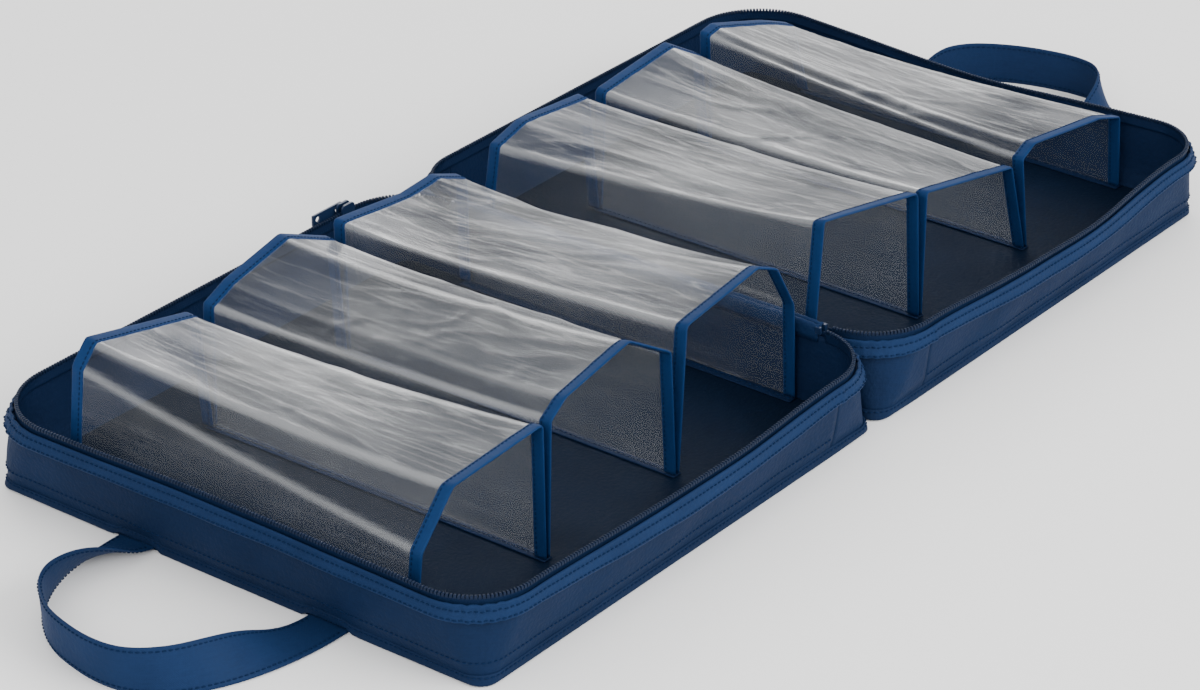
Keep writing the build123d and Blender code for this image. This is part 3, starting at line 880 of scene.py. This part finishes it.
def edge_fold(name, rows, end, finish):
    """The binding folded over one open end of a film, its stitches, and the directions it needs."""
    edge = rows[0 if end == "near" else -1]
    step = (rows[1] - rows[0]) if end == "near" else (rows[-2] - rows[-1])
    inwards = unit(step)
    line = edge + inwards * (edge_width / 2 - 0.0006)
    made = tape(name, line, inwards, edge_width, 0.0016, finish)
    along = unit(np.gradient(edge, axis=0))
    face = unit(np.cross(along, inwards))
    face = np.where(face[len(face) // 2][2] < 0, -face, face)
    seam = edge + inwards * (edge_width - 0.0026)
    return made, [(seam + face * 0.00078, face), (seam - face * 0.00078, -face)]


for number, (name, legs, near, far) in enumerate(tunnels):
    tray = name.split("_")[0]
    side = trays[tray]
    film_low, film_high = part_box(f"{name}_film")
    ends = (film_low.y, film_high.y)
    rows, fold_highlight_mask = film_surface(side, legs, near, far, film_low.z, ends, 7.0 * number + 2.0)
    film = sheet_grid(f"{name}_vinyl", rows, film_finish, 0)
    # The fold attribute carries the painted highlights along the folds to the film's shader.
    film.data.attributes.new("fold", "FLOAT", "POINT").data.foreach_set("value", fold_highlight_mask.ravel())
    thicken(film, 0.0003)
    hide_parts(f"{name}_film")
    soft = [film]
    for end in ("near", "far"):
        fold, lines = edge_fold(f"{name}_{end}_binding", rows, end, binding_cloth)
        threads = sew(f"{name}_{end}_stitches", lines, pitch=0.0030, thickness=0.0004)
        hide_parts(f"{name}_{end}_edge")
        soft += [fold, threads]
    for piece in soft:
        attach(piece, f"{tray}_tray")
        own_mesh(piece)

# --------------------------------------------------------------------------------------------------
# Handles. A folded strap with a row of stitches along each edge. Its two ends are caught flat in
# the bottom seam, and it turns onto its outer edge where it lies in a loop on the floor.

strap_colours = ((0.0046, 0.0150, 0.048), (0.0076, 0.0230, 0.070))
strap_finish = woven_finish("strap_polyester", strap_colours, 0.0006, 0.58, 0.16, 0.03)
strap_thickness = 0.0016
strap_line = -handle_high.x
loop_half = handle_high.y
loop_reaches = {-1: 0.112, 1: 0.102}
loop_skews = {-1: 0.010, 1: 0.022}  # how far the loop leans towards the near side
loop_squareness = 2.2
near_leg_turns = {  # share of the leg from its root, and degrees
    -1: ((0, 0.14, 0.35, 0.6, 0.85, 1), (0, 7, 40, 72, 90, 93)),
    1: ((0, 0.20, 0.45, 0.7, 0.88, 1), (0, 6, 30, 58, 84, 93)),
}
far_leg_turn = ((0, 0.08, 0.18, 0.35, 0.5, 1), (0, 14, 38, 70, 93, 93))
caught_length = 0.014


def strap_path(side):
    """Middle points of the strap from its near end to its far end, the direction across it and its face."""
    line, across, face = [], [], []
    reach = loop_reaches[side]
    shares = np.linspace(-1, 1, 151)
    near_turns = np.interp(1 - abs(shares), *near_leg_turns[side])
    far_turns = np.interp(1 - abs(shares), *far_leg_turn)
    turns = np.where(shares < 0, near_turns, far_turns)
    turns = np.convolve(np.pad(turns, 6, mode="edge"), np.full(13, 1 / 13), mode="valid")
    for share, turn in zip(shares, np.radians(turns)):
        angle = radians(90 * (1 - abs(share)))
        outwards = sin(angle) ** (2 / loop_squareness)
        sideways = cos(angle) ** (2 / loop_squareness)
        inwards = Vector((
            -(outwards ** (loop_squareness - 1)) / reach,
            -(sideways ** (loop_squareness - 1)) / loop_half,
            0,
        )).normalized()
        inwards.y = inwards.y if share > 0 else -inwards.y
        rise = abs(cos(turn)) * strap_thickness / 2 + handle_low.z
        skew = loop_skews[side] * sin(angle) ** 2
        wobble = 0.0016 * noise.noise(Vector((share * 4, side, 2.0))) * sin(angle)
        edge = Vector((
            strap_line + (reach + wobble) * outwards,
            loop_half * sideways * (1 if share > 0 else -1) - skew * outwards, rise,
        ))
        width = inwards * cos(turn) + Vector((0, 0, 1)) * sin(turn)
        along = Vector((-inwards.y, inwards.x, 0))
        point = edge + width * strap_width / 2
        line.append((side * point.x, point.y, point.z))
        across.append((side * width.x, width.y, width.z))
        up = along.cross(width)
        face.append((side * up.x, up.y, up.z))
    caught = np.array((-side * caught_length, 0, 0))
    line = [np.array(line[0]) + caught, *line, np.array(line[-1]) + caught]
    return np.array(line), np.array([across[0], *across, across[-1]]), np.array([face[0], *face, face[-1]])


for tray, side in trays.items():
    line, across, face = strap_path(side)
    strap = tape(f"{tray}_strap", line, across, strap_width, strap_thickness, strap_finish)
    lines = []
    for edge in (-1, 1):
        for turned in (-1, 1):
            seam = line + across * edge * (strap_width / 2 - 0.0026) + face * turned * strap_thickness / 2
            lines.append((seam[1:-1], face[1:-1] * turned))
    threads = sew(f"{tray}_strap_stitches", lines)
    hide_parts(f"{tray}_handle", f"{tray}_handle_tabs")
    for piece in (strap, threads):
        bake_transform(piece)

# --------------------------------------------------------------------------------------------------
# Studio. A pale seamless floor, one broad soft light above and in front, a second one behind that
# glances off the film, and white all round. The camera looks down over the left tray's near corner.

studio_finish, tree, shader = new_finish("studio_paper", 0.9, Specular_IOR_Level=0.1)
place = tree.nodes.new("ShaderNodeTexCoord")
paper = place_group(tree, mottle, place.outputs["Object"], Patch=2.0, Grain=90.0)
paper_colours = ((0.88, 0.88, 0.88), (0.90, 0.90, 0.90))
two_tone(tree, paper.outputs["Value"], *paper_colours, shader.inputs["Base Color"])
bpy.ops.mesh.primitive_plane_add(size=14, location=(0, 0, 0))
studio_floor = bpy.context.active_object
studio_floor.name = "studio_floor"
studio_floor.data.materials.append(studio_finish)


def softbox(name, place, aim, width, height, power):
    data = bpy.data.lights.new(name, "AREA")
    data.shape = "RECTANGLE"
    data.size = width
    data.size_y = height
    data.energy = power
    light = bpy.data.objects.new(name, data)
    light.location = place
    light.rotation_euler = (Vector(aim) - Vector(place)).to_track_quat("-Z", "Y").to_euler()
    bpy.context.scene.collection.objects.link(light)


softbox("key_softbox", (0.5, -2.3, 1.5), (0, 0, 0), 2.4, 1.2, 80.0)
softbox("left_softbox", (-2.3, -0.9, 1.3), (0, 0, 0), 1.8, 1.2, 38.0)
softbox("back_softbox", (1.9, 2.1, 1.5), (0, 0, 0.05), 2.4, 1.4, 45.0)
world = bpy.data.worlds.new("studio_white")
world.use_nodes = True
world.node_tree.nodes["Background"].inputs["Color"].default_value = (1, 1, 1, 1)
world.node_tree.nodes["Background"].inputs["Strength"].default_value = 1.25
bpy.context.scene.world = world
bpy.context.scene.cycles.transparent_max_bounces = 24

camera_data = bpy.data.cameras.new("camera")
camera_data.lens = 125.56
camera_data.sensor_width = 36.0
camera = bpy.data.objects.new("camera", camera_data)
eye, aim = Vector((-1.7357, -1.3158, 1.1448)), Vector((-0.06224, -0.02332, 0.030))
camera.location = eye
camera.rotation_euler = (aim - eye).to_track_quat("-Z", "Y").to_euler()
bpy.context.scene.collection.objects.link(camera)
bpy.context.scene.camera = camera
